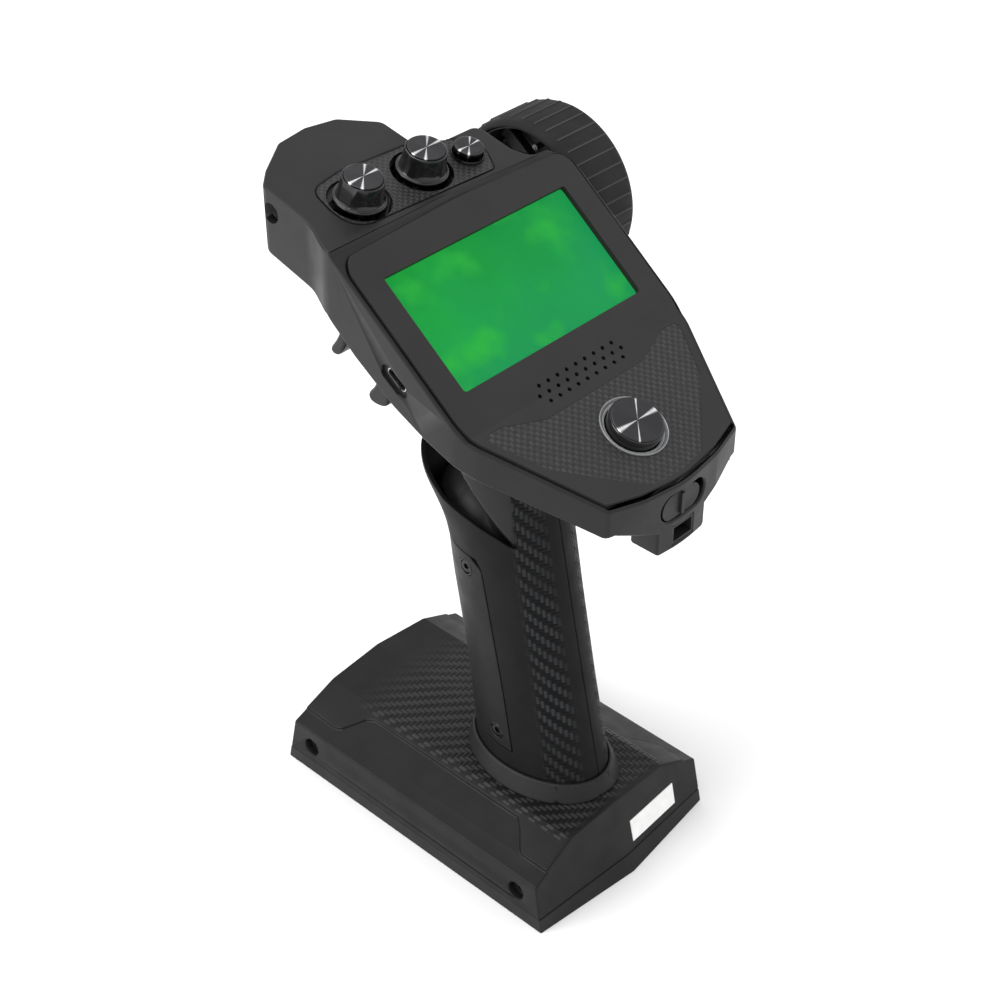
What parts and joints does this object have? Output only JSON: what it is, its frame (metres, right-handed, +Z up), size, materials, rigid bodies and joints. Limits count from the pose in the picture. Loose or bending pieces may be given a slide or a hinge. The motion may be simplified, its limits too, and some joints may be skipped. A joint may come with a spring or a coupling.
{
  "type": "radio transmitter controller",
  "caption": "Pistol-grip radio transmitter for a model car or boat: flat base, hand grip, tilted head with a screen, knobs, a steering wheel and a finger trigger.",
  "frame": {"origin": "centre of the flat underside of the base, where the transmitter stands", "axes": "+X to the user's right, the steering wheel side; +Y forward, away from the user; +Z up"},
  "size_m": [0.1361, 0.1601, 0.2692],
  "materials": {
    "case_plastic": "fine moulded texture",
    "front_plastic": "satin",
    "bezel_plastic": "fine moulded texture",
    "carbon_film": "woven pattern under clear coat",
    "grip_rubber": "matt textured rubber",
    "panel_plastic": "satin",
    "core_plastic": "satin",
    "knob_plastic": "polished",
    "spun_aluminium": "spun dark anodised",
    "ring_metal": "satin chrome",
    "light_ring": "translucent",
    "steel": "turned",
    "screw_steel": "blackened",
    "screen_glass": "clear",
    "display": "lit liquid crystal",
    "circuit_board": "solder mask",
    "component_black": "moulded",
    "cell_wrap": "shrink sleeve",
    "label_paper": "blank paper label",
    "foot_rubber": "matt",
    "wheel_rubber": "ribbed",
    "wheel_plastic": "satin"
  },
  "bodies": {
    "transmitter_body": {"antenna_board": "circuit_board", "base_bottom_plate": "case_plastic", "base_feet": "foot_rubber", "base_side_screws": "screw_steel", "base_top_shell": "case_plastic", "battery_cells": "cell_wrap", "bezel_plate": "bezel_plastic", "blank_label": "label_paper", "board_standoffs": "steel", "button_switches": "component_black", "charging_socket_shell": "steel", "charging_socket_tongue": "component_black", "control_board": "circuit_board", "front_housing_screw": "screw_steel", "grip_core_left": "core_plastic", "grip_core_right": "core_plastic", "grip_foot_ring": "core_plastic", "grip_panel_left": "panel_plastic", "grip_panel_right": "panel_plastic", "grip_panel_screws": "screw_steel", "grip_wrap_left": "grip_rubber", "grip_wrap_right": "grip_rubber", "head_lower_case": "case_plastic", "head_upper_case": "front_plastic", "knob_inlay": "carbon_film", "knob_sensors": "component_black", "main_board": "circuit_board", "palm_inlay": "carbon_film", "power_switch_body": "component_black", "push_button_ring": "knob_plastic", "radio_module": "component_black", "round_button_light_ring": "light_ring", "round_button_ring": "ring_metal", "screen_lens": "screen_glass", "screen_module": "display", "speaker": "component_black", "square_port": "component_black", "trigger_pivot_pin": "steel", "trigger_return_spring": "steel", "trigger_sensor": "component_black", "wheel_bearings": "steel", "wheel_mount": "case_plastic", "wheel_return_spring": "steel", "wheel_sensor": "component_black"},
    "steering_wheel": {"wheel_grip": "wheel_rubber", "wheel_hub": "wheel_plastic", "wheel_shaft": "steel", "wheel_screw": "screw_steel", "wheel_stop_pin": "steel"},
    "trigger": {"trigger_lever": "front_plastic"},
    "left_knob": {"knob_left_skirt": "knob_plastic", "knob_left_cap": "spun_aluminium", "knob_left_shaft": "steel"},
    "centre_knob": {"knob_centre_skirt": "knob_plastic", "knob_centre_cap": "spun_aluminium", "knob_centre_shaft": "steel"},
    "push_button": {"push_button_cap": "spun_aluminium"},
    "round_button": {"round_button_cap": "knob_plastic"},
    "power_switch": {"power_slider": "component_black"}
  },
  "joints": [
    {"name": "wheel_turn", "type": "hinge", "parent": "transmitter_body", "child": "steering_wheel", "pos_m": [0.068, 0.038, 0.2205], "axis": [1, 0, 0], "range_deg": [-35, 35], "stiffness_Nm_per_rad": 0.06},
    {"name": "trigger_pull", "type": "hinge", "parent": "transmitter_body", "child": "trigger", "pos_m": [-0.008, 0.047, 0.222], "axis": [1, 0, 0], "range_deg": [-20, 12], "stiffness_Nm_per_rad": 0.08},
    {"name": "left_knob_turn", "type": "hinge", "parent": "transmitter_body", "child": "left_knob", "pos_m": [-0.0278, 0.032, 0.25824], "axis": [0, -0.2588, 0.9659], "range_deg": [-150, 150]},
    {"name": "centre_knob_turn", "type": "hinge", "parent": "transmitter_body", "child": "centre_knob", "pos_m": [0.0005, 0.0318, 0.25819], "axis": [0, -0.2588, 0.9659], "range_deg": [-150, 150]},
    {"name": "push_button_press", "type": "slide", "parent": "transmitter_body", "child": "push_button", "axis": [0, 0.2588, -0.9659], "range_m": [0, 0.0008], "stiffness_N_per_m": 600},
    {"name": "round_button_press", "type": "slide", "parent": "transmitter_body", "child": "round_button", "axis": [0, 0.3907, -0.9205], "range_m": [0, 0.0009], "stiffness_N_per_m": 600},
    {"name": "power_slide", "type": "slide", "parent": "transmitter_body", "child": "power_switch", "axis": [1, 0, 0], "range_m": [0, 0.0026]}
  ]
}
